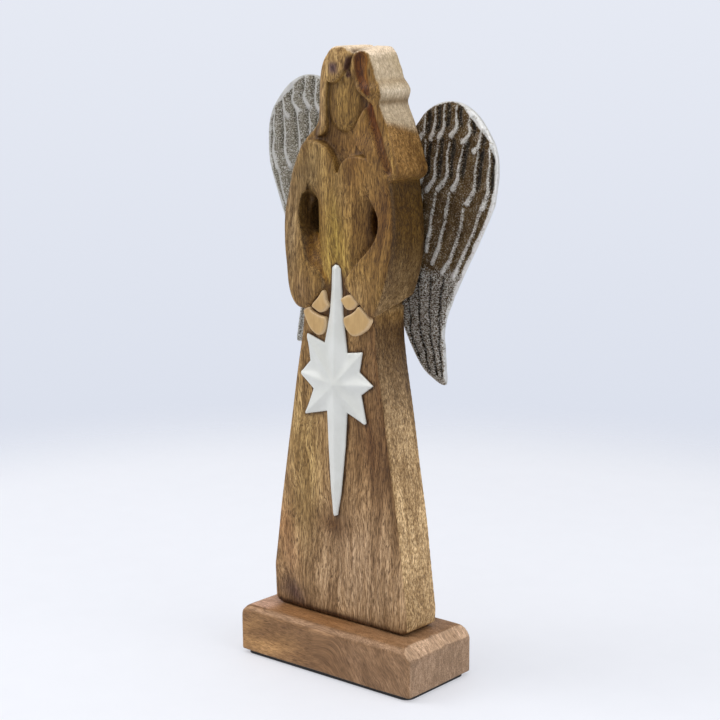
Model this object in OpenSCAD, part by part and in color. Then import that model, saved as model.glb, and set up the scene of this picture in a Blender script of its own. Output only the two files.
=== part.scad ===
// Carved angel figurine: a robed, winged figure on a bevelled block.
// +Z is up, +X is to the viewer's right, the figure faces -Y.
// The origin is the middle of the pad's underside, on the shelf.

/* [Base block] */
// Width of the block
base_w = 142; // [120:1:180]
// Depth of the block, front to back
base_d = 65; // [50:1:90]
// Height of the block without its pad
base_h = 31.5; // [24:0.5:40]
// Width of the bevel round the block's top edge
top_bevel = 7; // [2:0.5:10]
// Size of the small bevels on the block's other edges
small_bevel = 2; // [1:0.5:5]

/* [Non-slip pad] */
// Thickness of the pad
pad_t = 2.5; // [1:0.5:4]
// How far the pad's edge stays inside the block's edge
pad_inset = 2.5; // [2:0.5:12]
// Radius of the pad's corners
pad_corner_r = 6; // [2:0.5:10]

/* [Carved body] */
// Thickness of the plank that the figure is carved from
plank_t = 30; // [26:1:36]
// Full width of the robe at its hem
hem_w = 111; // [90:1:120]
// Full width of the robe where the hands meet
waist_w = 58.5; // [50:1:62]
// Full width across the sleeves
sleeve_span = 88; // [84:1:96]
// How far the sleeves stand in front of the robe
sleeve_proud = 4; // [1:0.5:5]
// How far the hands stand in front of the robe
hand_proud = 3.5; // [2:0.5:6]
// How far the hair stays behind the front of the robe
hair_setback = 2; // [0:0.5:4]
// Depth of the face below the hair round it
face_depth = 4; // [2:0.5:7]

/* [Wings] */
// Thickness of a wing from its front tier to its back
wing_t = 5.5; // [4:0.5:8]
// Step from one tier of feathers to the next
tier_step = 0.5; // [0.3:0.1:0.8]
// Thickness of the root flange
flange_t = 4; // [3:0.5:5]
// How much higher the left wing sits than the right one
left_wing_lift = 13; // [0:1:15]
// Turn of the left wing about its middle, in degrees
left_wing_turn = 6; // [0:1:6]

/* [Star] */
// Height of the star's centre above the shelf
star_z = 190; // [180:1:200]
// Thickness of the star at its centre
star_t = 6; // [4:0.5:8]
// Thickness of the star at its edges
star_edge_t = 2; // [1:0.5:3]

/* [Fasteners] */
// Diameter of the wing screws' shanks
wing_screw_d = 3.5; // [3:0.5:4]
// Length of a wing screw below its head
wing_screw_len = 15; // [12:1:20]
// Diameter of the base screws' shanks
base_screw_d = 5; // [4:0.5:6]
// Length of a base screw with its head
base_screw_len = 50; // [40:1:60]
// Diameter of the pins behind the star
star_pin_d = 3; // [2:0.5:4]

/* [Hidden] */

$fn = 48;
eps = 0.5;

base_top = pad_t + base_h;
front_y = -plank_t / 2;
back_y = plank_t / 2;
sleeve_y = front_y - sleeve_proud;
hand_y = front_y - hand_proud;
hair_y = front_y + hair_setback;
face_y = hair_y + face_depth;
neck_y = face_y + 1;

hem_bevel = 3;
flare_z = 48;
arm_x = sleeve_span / 2;

// Half-widths of the robe going up from the hem
robe_side = [[hem_w / 2 - hem_bevel, base_top], [hem_w / 2, base_top + hem_bevel],
             [hem_w / 2 + 1, flare_z], [49.5, 100], [43, 140], [36.5, 180], [32.5, 202],
             [waist_w / 2 + 1, 220], [waist_w / 2, 236]];
// The robe's middle lies a little to the left of the block's middle
robe_x = -1.2;

// Right sleeve, from the shoulder down its outer side, round the cuff and up its inner side
sleeve_outline = [[14, 332], [34, 331], [40, 320], [42.5, 308], [arm_x, 294], [arm_x, 282],
                  [42.5, 268], [39.5, 256], [36, 246], [30, 234], [26, 236], [7, 253], [8, 258],
                  [16, 266], [25, 277], [31, 287], [31.5, 296], [28, 305], [18, 311]];

// Gap between the right arm and the torso
slot_outline = [[18, 290], [21, 284.5], [28, 285.5], [30.5, 293], [29, 301], [24, 306], [19, 303]];

// Torso between the sleeves, up to the neckline
chest_outline = [[-2, 254], [-11, 262], [-18, 284], [-20, 306], [-38, 312], [-36, 330], [-28, 338],
                 [-20, 340], [-11, 335], [-3, 322], [2, 330], [9, 333], [20, 331], [36, 324],
                 [38, 312], [20, 306], [18, 284], [9, 262]];

// Core of the torso and shoulders, behind the relief
core_outline = [[-waist_w / 2, 230], [-36, 247], [-39.5, 256], [-42.5, 268], [-arm_x, 282],
                [-arm_x, 294], [-42.5, 308], [-40, 322], [-35, 335], [-24, 344], [24, 344],
                [36, 332], [40, 320], [42.5, 308], [arm_x, 294], [arm_x, 282], [42.5, 268],
                [39.5, 256], [36, 247], [waist_w / 2, 230]];

// Hair, clockwise from the middle of the crown
hair_outline = [[4, 398.5], [11, 400], [18.5, 399], [22.5, 394.5], [25, 388.5], [28, 381],
                [31.5, 376.5], [33, 373], [31, 366.5], [33, 360], [36.5, 352], [41, 342],
                [45.5, 331], [46.5, 326], [44, 321], [38, 319], [20, 319], [4, 330],
                [-10, 338], [-30, 340], [-33, 343], [-28, 348], [-23.5, 353], [-22, 362],
                [-21.5, 374], [-19.5, 384], [-15, 393], [-8, 399], [-2, 400]];

// Hollow that holds the face and neck
hollow_outline = [[-12, 376], [-4, 380], [3, 384], [8, 380], [13, 368], [12, 352], [20, 338],
                  [9, 331], [-1, 318], [-12, 331], [-16, 342], [-13, 352]];
face_z = 364.5;
face_w = 25;
face_h = 33;

// Right hand: palm and thumb
palm_outline = [[6, 233], [6.5, 228], [12, 223], [16, 222.5], [24, 227], [28, 234], [19, 241],
                [15, 238]];
thumb_outline = [[4, 244], [8, 247.5], [14, 248], [18, 244], [17, 241.5], [11.5, 239], [6, 241]];

// Sleeves end on a slant that rises towards the back
cuff_rise = 11;

// Right wing seen from the front, from its root over the top to the tip and back
wing_outline = [[22, 340], [35, 352], [42, 360], [50, 365], [60, 367.5], [71.5, 366], [82.5, 360],
                [91, 350.5], [96, 340], [97.5, 328], [95.5, 310], [92, 300], [82, 280], [71.5, 260],
                [62, 240], [58, 226], [59, 210], [60, 194], [57.5, 191.5], [51, 194],
                [42, 200], [34, 211], [26, 226], [23, 240], [20, 270]];
outline_steps = 4;

// Feather tiers: [root, tip] of the first and last feather, how many, and their width
tier_upper = [[[40, 352], [47, 345]], [[88, 352], [91, 342]], 6, 10.5];
tier_middle = [[[40, 345], [43, 313]], [[93, 342], [91, 306]], 6, 10.5];
tier_lower = [[[46, 315], [40, 262]], [[88, 306], [66, 254]], 5, 10.5];

flange_x0 = 8;
flange_x1 = 36;
flange_z0 = 262;
flange_z1 = 340;
wing_hole_x = 14;
wing_holes_z = [280, 325];
left_pivot = [-60, 290];
left_shift = 6;
wing_hole_d = wing_screw_d + 0.5;
wing_head_d = 7;
wing_head_h = 2.6;
recess_w = 1;
recess_l = 3.6;
recess_h = 1.4;

base_screw_x = 28;
base_hole_d = base_screw_d + 0.4;
base_head_d = 9.6;
base_head_h = 2.8;

// Rim of the star, clockwise from the top, measured from its centre
star_rim = [[-1.5, 75.5], [2, 74.5], [4, 50], [8, 21.5], [20.5, 23.5], [18, 10], [29, 3], [19, -5],
            [23, -23], [8, -17.5], [6, -40], [0, -86], [-3, -87], [-4.5, -84],
            [-7.5, -40], [-8.5, -18.5], [-27, -23], [-20, -5.5], [-30, 2], [-22, 12],
            [-25.5, 30], [-10.5, 25.5], [-6, 50], [-4.5, 74]];
star_pins_z = [star_z - 22, star_z + 22];
star_pin_depth = 8;
star_pin_in_star = 3;

// Extrudes a drawing of x and z through the plank, from y = front to y = back
module slab(front, back) {
    translate([0, back, 0])
        rotate([90, 0, 0])
            linear_extrude(height = back - front)
                children();
}

// Extrudes a drawing of y and z along X, centred
module bar(width) {
    translate([-width / 2, 0, 0])
        rotate([90, 0, 90])
            linear_extrude(height = width)
                children();
}

// A point on the smooth curve through the closed list p, at step s of n after point i
function on_curve(p, i, s, n) =
    let (m = len(p), t = s / n,
         a = p[(i + m - 1) % m], b = p[i], c = p[(i + 1) % m], d = p[(i + 2) % m])
    0.5 * (2 * b + (c - a) * t + (2 * a - 5 * b + 4 * c - d) * t * t
           + (3 * b - a - 3 * c + d) * t * t * t);

function smooth(p, n = outline_steps) =
    [for (i = [0 : len(p) - 1]) for (s = [0 : n - 1]) on_curve(p, i, s, n)];

function mirrored(p) = [for (i = [len(p) - 1 : -1 : 0]) [-p[i][0], p[i][1]]];

function mix(a, b, t) = a * (1 - t) + b * t;

// Round rod along -Y from the point [x, y, z]
module rod_y(x, y, z, d, length) {
    translate([x, y, z])
        rotate([90, 0, 0])
            cylinder(d = d, h = length);
}

// The left wing is the mirrored casting, lifted and turned
module place_left() {
    translate([left_pivot[0] + left_shift, 0, left_pivot[1] + left_wing_lift])
        rotate([0, left_wing_turn, 0])
            translate([-left_pivot[0], 0, -left_pivot[1]])
                mirror([1, 0, 0])
                    children();
}

// ---- Base ----

module base_solid() {
    intersection() {
        slab(-base_d / 2, base_d / 2)
            polygon([[-base_w / 2, pad_t + small_bevel / 2], [-base_w / 2 + small_bevel / 2, pad_t],
                     [base_w / 2 - small_bevel / 2, pad_t], [base_w / 2, pad_t + small_bevel / 2],
                     [base_w / 2, base_top - top_bevel / 2], [base_w / 2 - top_bevel, base_top],
                     [-base_w / 2 + top_bevel, base_top], [-base_w / 2, base_top - top_bevel / 2]]);
        bar(base_w)
            polygon([[-base_d / 2, pad_t + small_bevel / 2], [-base_d / 2 + small_bevel / 2, pad_t],
                     [base_d / 2 - small_bevel / 2, pad_t], [base_d / 2, pad_t + small_bevel / 2],
                     [base_d / 2, base_top - top_bevel / 2], [base_d / 2 - top_bevel / 2, base_top],
                     [-base_d / 2 + top_bevel / 2, base_top], [-base_d / 2, base_top - top_bevel / 2]]);
        translate([0, 0, pad_t])
            linear_extrude(height = base_h)
                polygon([[-base_w / 2 + small_bevel, -base_d / 2], [base_w / 2 - small_bevel, -base_d / 2],
                         [base_w / 2, -base_d / 2 + small_bevel], [base_w / 2, base_d / 2 - small_bevel],
                         [base_w / 2 - small_bevel, base_d / 2], [-base_w / 2 + small_bevel, base_d / 2],
                         [-base_w / 2, base_d / 2 - small_bevel], [-base_w / 2, -base_d / 2 + small_bevel]]);
    }
}

module countersink(d, head_d, head_h, length) {
    rotate_extrude()
        polygon([[0, 0], [head_d / 2, 0], [head_d / 2, 0.3], [d / 2, head_h], [d / 2, length],
                 [0, length]]);
}

module base() {
    color("peru")
        difference() {
            base_solid();
            for (side = [-1, 1])
                translate([side * base_screw_x, 0, pad_t])
                    countersink(base_hole_d, base_head_d, base_head_h, base_h + 1);
        }
}

module base_pad() {
    pad_w = base_w - 2 * pad_inset;
    pad_d = base_d - 2 * pad_inset;
    color("black")
        union() {
            translate([-pad_w / 2, -pad_d / 2 + pad_corner_r, 0])
                cube([pad_w, pad_d - 2 * pad_corner_r, pad_t]);
            translate([-pad_w / 2 + pad_corner_r, -pad_d / 2, 0])
                cube([pad_w - 2 * pad_corner_r, pad_d, pad_t]);
            for (x = [-1, 1], y = [-1, 1])
                translate([x * (pad_w / 2 - pad_corner_r), y * (pad_d / 2 - pad_corner_r), 0])
                    cylinder(r = pad_corner_r, h = pad_t);
        }
}

module base_screw(side) {
    color("silver")
        translate([side * base_screw_x, 0, pad_t])
            difference() {
                countersink(base_screw_d, base_head_d - 0.2, base_head_h, base_screw_len);
                cross_recess();
            }
}

// Cross recess in a screw head, open towards -Z
module cross_recess() {
    for (turn = [0, 90])
        rotate([0, 0, turn])
            translate([-recess_l / 2, -recess_w / 2, -eps])
                cube([recess_l, recess_w, recess_h + eps]);
}

// ---- Body ----

module robe() {
    intersection() {
        slab(front_y, back_y)
            translate([robe_x, 0])
                polygon(concat(robe_side, mirrored(robe_side)));
        bar(hem_w + 2 * hem_bevel)
            polygon([[front_y, base_top + hem_bevel], [front_y + hem_bevel / 2, base_top],
                     [back_y - hem_bevel / 2, base_top], [back_y, base_top + hem_bevel],
                     [back_y, 240], [front_y, 240]]);
    }
}

module sleeve() {
    slab(sleeve_y, back_y)
        polygon(smooth(sleeve_outline, 3));
}

// Wedge under the cuffs: its top face rises from the front of the sleeves to the plank's back
module cuff_wedge() {
    for (side = [0, 1])
        mirror([side, 0, 0])
            translate([waist_w / 2 - 2 * robe_x, 0, 0])
                rotate([90, 0, 90])
                    linear_extrude(height = arm_x)
                        polygon([[sleeve_y - eps, 220], [sleeve_y - eps, 234],
                                 [back_y + eps, 234 + cuff_rise], [back_y + eps, 220]]);
}

module hand() {
    slab(hand_y, front_y + eps)
        polygon(smooth(palm_outline, 3));
    slab(hand_y, front_y + eps)
        polygon(smooth(thumb_outline, 3));
}

module face() {
    slab(face_y, neck_y + eps)
        translate([0, face_z])
            polygon([for (a = [0 : 10 : 350]) [face_w / 2 * sin(a), face_h / 2 * cos(a)]]);
}

module head() {
    difference() {
        slab(hair_y, back_y)
            polygon(smooth(hair_outline, 2));
        slab(hair_y - eps, neck_y)
            polygon(smooth(hollow_outline, 3));
    }
    face();
}

module body_solid() {
    difference() {
        union() {
            robe();
            slab(neck_y, back_y)
                polygon(core_outline);
            slab(front_y, back_y)
                polygon(smooth(chest_outline, 2));
            sleeve();
            mirror([1, 0, 0])
                sleeve();
            head();
        }
        cuff_wedge();
        for (side = [0, 1])
            mirror([side, 0, 0])
                slab(sleeve_y - eps, back_y + eps)
                    polygon(smooth(slot_outline, 3));
    }
    hand();
    mirror([1, 0, 0])
        hand();
}

module body() {
    pilot = wing_screw_len - flange_t;
    color("sienna")
        difference() {
            body_solid();
            for (z = wing_holes_z) {
                rod_y(wing_hole_x, back_y + eps, z, wing_screw_d, pilot + eps);
                place_left()
                    rod_y(wing_hole_x, back_y + eps, z, wing_screw_d, pilot + eps);
            }
            for (side = [-1, 1])
                translate([side * base_screw_x, 0, base_top - eps])
                    cylinder(d = base_screw_d, h = pad_t + base_screw_len - base_top + eps);
            for (z = star_pins_z)
                rod_y(0, front_y + star_pin_depth, z, star_pin_d, star_pin_depth + eps);
        }
}

// ---- Wings ----

// One feather from root to tip, with a round end
module feather(root, tip, w, front) {
    run = tip - root;
    slab(front, back_y + wing_t)
        translate(root)
            rotate(atan2(run[1], run[0])) {
                translate([0, -w / 2])
                    square([norm(run), w]);
                translate([norm(run), 0])
                    circle(d = w);
            }
}

module tier(spec, front) {
    for (i = [0 : spec[2] - 1]) {
        t = i / (spec[2] - 1);
        feather(mix(spec[0][0], spec[1][0], t), mix(spec[0][1], spec[1][1], t), spec[3], front);
    }
}

module wing_casting() {
    blade_y = back_y + 3 * tier_step;
    difference() {
        union() {
            slab(blade_y, back_y + wing_t)
                polygon(smooth(wing_outline));
            intersection() {
                slab(back_y, back_y + wing_t)
                    polygon(smooth(wing_outline));
                union() {
                    tier(tier_lower, back_y + 2 * tier_step);
                    tier(tier_middle, back_y + tier_step);
                    tier(tier_upper, back_y);
                }
            }
            slab(back_y, back_y + flange_t)
                translate([flange_x0, flange_z0])
                    square([flange_x1 - flange_x0, flange_z1 - flange_z0]);
        }
        for (z = wing_holes_z)
            rod_y(wing_hole_x, back_y + flange_t + eps, z, wing_hole_d, flange_t + 2 * eps);
    }
}

module right_wing() {
    color("dimgray")
        wing_casting();
}

module left_wing() {
    color("dimgray")
        place_left()
            wing_casting();
}

// Pan-head screw through a wing's flange, its head on the flange's back
module wing_screw(z) {
    color("silver")
        translate([wing_hole_x, back_y + flange_t, z])
            rotate([90, 0, 0])
                difference() {
                    union() {
                        cylinder(d = wing_screw_d, h = wing_screw_len);
                        translate([0, 0, -wing_head_h])
                            cylinder(d = wing_head_d, h = wing_head_h);
                    }
                    translate([0, 0, -wing_head_h])
                        cross_recess();
                }
}

// ---- Star ----

module star_solid() {
    n = len(star_rim);
    front = [for (p = star_rim) [p[0], front_y - star_edge_t, star_z + p[1]]];
    back = [for (p = star_rim) [p[0], front_y, star_z + p[1]]];
    apex = [[0, front_y - star_t, star_z]];
    foot = [[0, front_y, star_z]];
    polyhedron(
        points = concat(front, back, apex, foot),
        faces = concat(
            [for (i = [0 : n - 1]) [2 * n, (i + 1) % n, i]],
            [for (i = [0 : n - 1]) [2 * n + 1, n + i, n + (i + 1) % n]],
            [for (i = [0 : n - 1]) [i, (i + 1) % n, n + (i + 1) % n]],
            [for (i = [0 : n - 1]) [i, n + (i + 1) % n, n + i]]));
}

module star() {
    color("white")
        difference() {
            star_solid();
            for (z = star_pins_z)
                rod_y(0, front_y + eps, z, star_pin_d, star_pin_in_star + eps);
        }
}

module star_pin(z) {
    color("silver")
        rod_y(0, front_y + star_pin_depth, z, star_pin_d, star_pin_depth + star_pin_in_star);
}

body();
base();
base_pad();
left_wing();
right_wing();
star();
wing_screw(wing_holes_z[1]);  // wing_screw_right_upper
wing_screw(wing_holes_z[0]);  // wing_screw_right_lower
place_left() wing_screw(wing_holes_z[1]);  // wing_screw_left_upper
place_left() wing_screw(wing_holes_z[0]);  // wing_screw_left_lower
base_screw(-1);  // base_screw_left
base_screw(1);  // base_screw_right
star_pin(star_pins_z[1]);  // star_pin_upper
star_pin(star_pins_z[0]);  // star_pin_lower
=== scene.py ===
"""Looks of the carved angel figurine: carved wood, cast wings, enamelled star, soft studio."""
import math

import bpy
import numpy as np
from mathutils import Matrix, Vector


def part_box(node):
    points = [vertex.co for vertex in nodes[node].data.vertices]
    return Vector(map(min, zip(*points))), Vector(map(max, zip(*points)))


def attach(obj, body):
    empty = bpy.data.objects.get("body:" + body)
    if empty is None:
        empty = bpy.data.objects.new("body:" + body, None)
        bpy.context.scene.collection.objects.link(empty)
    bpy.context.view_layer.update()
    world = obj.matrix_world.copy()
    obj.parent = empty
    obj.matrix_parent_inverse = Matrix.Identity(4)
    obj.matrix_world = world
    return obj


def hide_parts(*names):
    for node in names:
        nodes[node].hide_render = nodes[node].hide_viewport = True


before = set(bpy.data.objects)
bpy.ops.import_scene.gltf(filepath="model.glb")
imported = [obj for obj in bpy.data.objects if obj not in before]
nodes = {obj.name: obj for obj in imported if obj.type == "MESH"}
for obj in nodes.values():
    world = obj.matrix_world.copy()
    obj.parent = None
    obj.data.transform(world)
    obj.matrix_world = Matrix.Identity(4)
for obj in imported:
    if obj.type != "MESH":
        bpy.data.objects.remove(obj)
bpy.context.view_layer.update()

MM = 0.001


def mm_box(node):
    """Lowest and highest corner of a CAD node, in millimetres."""
    return [[round(v / MM, 2) for v in corner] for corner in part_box(node)]


def middle(node, axis):
    low, high = mm_box(node)
    return round((low[axis] + high[axis]) / 2, 1)


BODY_BOX, STAR_BOX, WING_BOX = mm_box("body"), mm_box("star"), mm_box("right_wing")
# The plank's front face, where the star sits, and its back.
FRONT, BACK = STAR_BOX[1][1], BODY_BOX[1][1]
HEM_Z, TOP_Z = BODY_BOX[0][2], BODY_BOX[1][2]


# ---- Solid modelling in millimetres: a field is negative inside the solid ----

def soft_max(a, b, r):
    """Intersection of two fields, with the edge between them rounded over about r."""
    return np.maximum(a, b) + np.maximum(r - np.abs(a - b), 0) ** 2 / (4 * r)


def round_edge(a, b, r):
    """Intersection of two fields, with the edge between them rounded to radius r."""
    return np.hypot(np.maximum(a + r, 0), np.maximum(b + r, 0)) + np.minimum(np.maximum(a, b) + r, 0) - r


def soft_min(a, b, r):
    """Union of two fields, with the corner between them filled over about r."""
    return -soft_max(-a, -b, r)


def ramp(value, low, high):
    """Smooth step from 0 at low to 1 at high."""
    t = np.clip((value - low) / (high - low), 0, 1)
    return t * t * (3 - 2 * t)


def bell(value, width, power=2):
    """1 at zero, falling away to nothing beyond about the width."""
    return np.exp(-(value / width) ** power)


def between(a, b, c, d, t):
    """Point at t on the smooth curve from b to c, for neighbours a and d."""
    return 0.5 * (2 * b + (c - a) * t + (2 * a - 5 * b + 4 * c - d) * t ** 2
                  + (3 * b - a - 3 * c + d) * t ** 3)


def smooth_path(points, steps=6, closed=False):
    """Smooth curve through the points, with this many steps between each two."""
    p = np.array(points, float)
    if closed:
        p = np.vstack([p[-1], p, p[:2]])
    else:
        p = np.vstack([2 * p[0] - p[1], p, 2 * p[-1] - p[-2]])
    rows = [between(*p[i:i + 4], t) for i in range(len(p) - 3) for t in np.arange(steps) / steps]
    return np.array(rows if closed else rows + [p[-2]])


def smooth_loop(points):
    return smooth_path(points, 4, closed=True)


def to_segment(x, z, start, end):
    """Squared distance to a straight stretch in the x-z plane, and how far along it, from 0 to 1."""
    (x0, z0), (ex, ez) = start, end - start
    t = np.clip(((x - x0) * ex + (z - z0) * ez) / (ex * ex + ez * ez + 1e-12), 0, 1)
    return (x - x0 - t * ex) ** 2 + (z - z0 - t * ez) ** 2, t


def path_distance(path, x, z):
    """Distance to an open path in the x-z plane, and how far along it, from 0 to 1."""
    best = np.full(np.broadcast(x, z).shape, np.inf)
    along = np.zeros_like(best)
    lengths = np.hypot(*np.diff(path, axis=0).T)
    before = np.concatenate([[0], np.cumsum(lengths)])
    for i, length in enumerate(lengths):
        d, t = to_segment(x, z, path[i], path[i + 1])
        along = np.where(d < best, (before[i] + t * length) / before[-1], along)
        best = np.minimum(best, d)
    return np.sqrt(best), along


def loop_distance(loop, x, z):
    """Signed distance to a closed loop in the x-z plane, negative inside."""
    best = np.full(np.broadcast(x, z).shape, np.inf)
    inside = np.zeros(best.shape, bool)
    for start, end in zip(loop, np.roll(loop, -1, 0)):
        best = np.minimum(best, to_segment(x, z, start, end)[0])
        (x0, z0), (x1, z1) = start, end
        if z0 != z1:
            inside ^= ((z0 > z) != (z1 > z)) & (x < (x1 - x0) * (z - z0) / (z1 - z0) + x0)
    return np.where(inside, -1, 1) * np.sqrt(best)


def shape(points, place):
    """Signed distance of a place's x and z to the smooth closed curve through the points."""
    return loop_distance(smooth_loop(points), place.x, place.z)


def trace(points, place):
    """Distance to the smooth open curve through the points, and how far along it."""
    return path_distance(smooth_path(points), place.x, place.z)


def ripple(x, y, z, length, seed, waves=7):
    """Smooth random undulation of about -1 to 1, with features of about the given length."""
    rng = np.random.default_rng(seed)
    total = 0
    for _ in range(waves):
        k = rng.normal(size=3)
        k *= 2 * math.pi / length * rng.uniform(0.6, 1.3) / np.linalg.norm(k)
        total = total + np.sin(k[0] * x + k[1] * y + k[2] * z + rng.uniform(0, 2 * math.pi))
    return total / math.sqrt(waves)


class Grid:
    """Box of sample points, with the axes shaped for broadcasting."""

    def __init__(self, xs, ys, zs):
        self.axes = (xs, ys, zs)
        self.x = xs[:, None, None]
        self.y = ys[None, :, None]
        self.z = zs[None, None, :]


def steps_of(low, high, step, margin=0):
    return np.arange(low - margin, high + margin + step, step)


def surface(field, grid):
    """Surface nets: the points and quads of the field's zero surface."""
    field = np.broadcast_to(field, tuple(len(a) for a in grid.axes))
    inside = field < 0
    cut = [slice(None, -1), slice(1, None)]
    count = sum(inside[cut[a], cut[b], cut[c]].astype(np.int8)
                for a in (0, 1) for b in (0, 1) for c in (0, 1))
    mixed = (count > 0) & (count < 8)
    cells = np.argwhere(mixed)
    number = np.full(mixed.shape, -1, np.int64)
    number[mixed] = np.arange(len(cells))
    total, hits = np.zeros((len(cells), 3)), np.zeros(len(cells))
    quads = []
    for axis in range(3):
        u, v = (axis + 1) % 3, (axis + 2) % 3
        for m in (0, 1):
            for n in (0, 1):
                low = cells.copy()
                low[:, u] += m
                low[:, v] += n
                high = low.copy()
                high[:, axis] += 1
                a, b = field[tuple(low.T)], field[tuple(high.T)]
                cross = (a < 0) != (b < 0)
                p = np.stack([grid.axes[k][low[:, k]] for k in range(3)], 1)
                step = grid.axes[axis][high[:, axis]] - p[:, axis]
                p[:, axis] += step * a / np.where(cross, a - b, 1)
                total[cross] += p[cross]
                hits[cross] += 1
        turned = np.moveaxis(inside, (axis, u, v), (0, 1, 2))
        lower, upper = turned[:-1, 1:-1, 1:-1], turned[1:, 1:-1, 1:-1]
        ids = np.moveaxis(number, (axis, u, v), (0, 1, 2))
        i, j, k = np.argwhere(lower != upper).T
        ring = np.stack([ids[i, j, k], ids[i, j + 1, k], ids[i, j + 1, k + 1], ids[i, j, k + 1]], 1)
        quads.append(np.where(lower[i, j, k][:, None], ring, ring[:, ::-1]))
    return total / hits[:, None], np.concatenate(quads)


def normals(points, quads):
    """Smooth normal of each point."""
    p = points[quads]
    face = np.cross(p[:, 2] - p[:, 0], p[:, 3] - p[:, 1])
    total = np.zeros_like(points)
    for corner in range(4):
        np.add.at(total, quads[:, corner], face)
    return total / np.maximum(np.linalg.norm(total, axis=1, keepdims=True), 1e-9)


def blended(colour, mask, rgb):
    """Colours moved towards rgb where the mask is above 0, and all the way where it is 1."""
    m = np.clip(mask, 0, 1)[:, None]
    return colour * (1 - m) + np.array(rgb) * m


def add_object(name, data):
    made = bpy.data.objects.new(name, data)
    bpy.context.scene.collection.objects.link(made)
    return made


def piece_of(name, points, quads, material, node, attributes):
    """Makes a smooth-shaded piece that stands for a CAD node and rides with it."""
    mesh = bpy.data.meshes.new(name)
    mesh.from_pydata((points * MM).tolist(), [], quads.tolist())
    mesh.validate()
    mesh.polygons.foreach_set("use_smooth", np.ones(len(mesh.polygons), bool))
    for key, values in attributes.items():
        kind, field = ("FLOAT", "value") if values.ndim == 1 else ("FLOAT_VECTOR", "vector")
        layer = mesh.attributes.new(key, kind, "POINT")
        layer.data.foreach_set(field, values.astype(np.float32).ravel())
    mesh.materials.append(material)
    piece = add_object(name, mesh)
    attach(piece, "root")
    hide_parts(node)


# ---- Carved body: outlines in the x-z plane, in millimetres ----

ROBE = [(-51.5, 34), (51, 34), (55.5, 37.5), (56, 46), (54, 61), (49, 100), (42.5, 140), (36, 180),
    (32, 202), (29.5, 220), (29, 240), (-29.5, 240), (-31.5, 220), (-34.5, 202), (-38.5, 180), (-45, 140),
    (-51.5, 100), (-57, 60), (-56, 37)]
ARMS = [(28, 233), (34.5, 243), (39.5, 255), (43, 268), (44.5, 281), (44.5, 293), (43, 306), (41, 318),
    (37, 330), (20, 343), (-20, 345), (-29, 341), (-34.5, 331), (-39, 320), (-41.5, 309), (-44, 298),
    (-44.5, 287), (-43.5, 274), (-41.5, 262), (-40, 250), (-37, 241), (-30.5, 235), (-15, 231), (15, 231)]
SLEEVE_R = [(60, 345), (60, 230), (30, 235.5), (24, 240), (18, 245), (14, 248), (10, 251), (7.5, 254),
    (8, 257), (10, 260.5), (13.5, 264.5), (20, 271.5), (26.5, 278.5), (31, 285), (32.5, 292), (31.5, 299),
    (27, 306), (25, 312), (30, 330)]
SLEEVE_L = [(-60, 345), (-60, 230), (-29, 234), (-25.5, 236.5), (-22, 239), (-18.5, 242.5), (-15.5, 246),
    (-12.5, 249), (-11, 252), (-12.5, 256), (-16.5, 260.5), (-21.5, 263), (-25.5, 268), (-27.5, 275),
    (-29, 283), (-30.5, 291), (-31, 300), (-29, 308), (-25, 313), (-30, 330)]
TORSO = [(0, 249), (6, 255), (12, 261), (19, 270), (25, 279), (28.5, 287), (29, 297), (26, 306),
    (20, 314), (-15, 314), (-19, 304), (-18.5, 293), (-18, 282), (-14.5, 271), (-10, 262), (-5, 254)]
CHEST = [(-60, 350), (-34, 340), (-27, 341.5), (-20, 341.5), (-14, 340), (-9, 337), (-4, 330),
    (-1, 322.5), (2, 328), (6, 332), (12, 334), (20, 333.5), (26, 331), (31, 327), (38, 320), (60, 312),
    (60, 292), (32, 292), (31, 300), (27, 305.5), (22, 307), (17, 303), (10, 296), (-8, 296),
    (-17, 303.5), (-22, 307), (-28, 305.5), (-31, 300), (-31.5, 292), (-60, 292)]
SLOT_R = [(23, 292), (24.5, 285), (28.5, 286), (31, 293), (29.5, 300), (26.5, 304), (23.5, 301)]
ELBOW_CREASE = [(30.5, 287), (25.5, 279.5), (18.5, 272.5), (12, 265.5), (8, 261), (6, 256)]
SLOT_L = [(-20, 292), (-21.5, 284), (-26, 283.5), (-30.5, 290), (-30.5, 299), (-26, 305.5), (-21, 303)]
HAIR = [(3.5, 400.5), (11, 400.5), (18.5, 399.5), (22.5, 395), (24.5, 390), (26.5, 385.5), (28, 380.5),
    (31, 377), (33, 373.5), (32, 369.5), (31, 366), (33.5, 360), (36.5, 354), (37.5, 351), (41.5, 342),
    (45, 332), (47, 326), (44, 321), (38, 319), (22, 319), (8, 328), (-10, 336), (-28, 339.5),
    (-34.5, 339.5), (-31, 344), (-26, 348.5), (-22.5, 354), (-21, 364), (-20.5, 375), (-18.5, 385),
    (-14.5, 393), (-8.5, 398.5), (-2.5, 400.5)]
LOBE_L = [(-11, 378), (-4.5, 377.5), (0, 381), (2.5, 384.5), (4.5, 387.5), (6.5, 392), (7.5, 395.5),
    (6.5, 398.5), (4, 400.5), (0, 401), (-4, 400.5), (-7.5, 399), (-10.5, 395.5), (-12, 391),
    (-12.5, 384)]
LOBE_R = [(8, 388), (8, 383.5), (10.5, 379), (13.5, 374.5), (17.5, 370), (22, 366.5), (26.5, 364.5),
    (34, 362.5), (38, 368), (37, 375), (33, 380), (30, 384), (27.5, 388), (26, 391), (24, 395.5),
    (20.5, 397), (16.5, 397.5), (12.5, 397), (10, 395), (8.5, 391.5)]
CURL_HOLLOW = [(16, 391.5), (16, 388), (17, 383), (19, 378), (22, 373.5)]
CLEFT = [(8, 396), (6.5, 391), (5.5, 387), (4, 382.5)]
STRAND_R = [(19, 364), (13.5, 356), (11, 350), (11, 344.5), (14, 339.5), (19, 335.5), (29, 327.5),
    (36, 320), (40, 315), (60, 312), (60, 345), (40, 372), (24, 370)]
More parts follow.
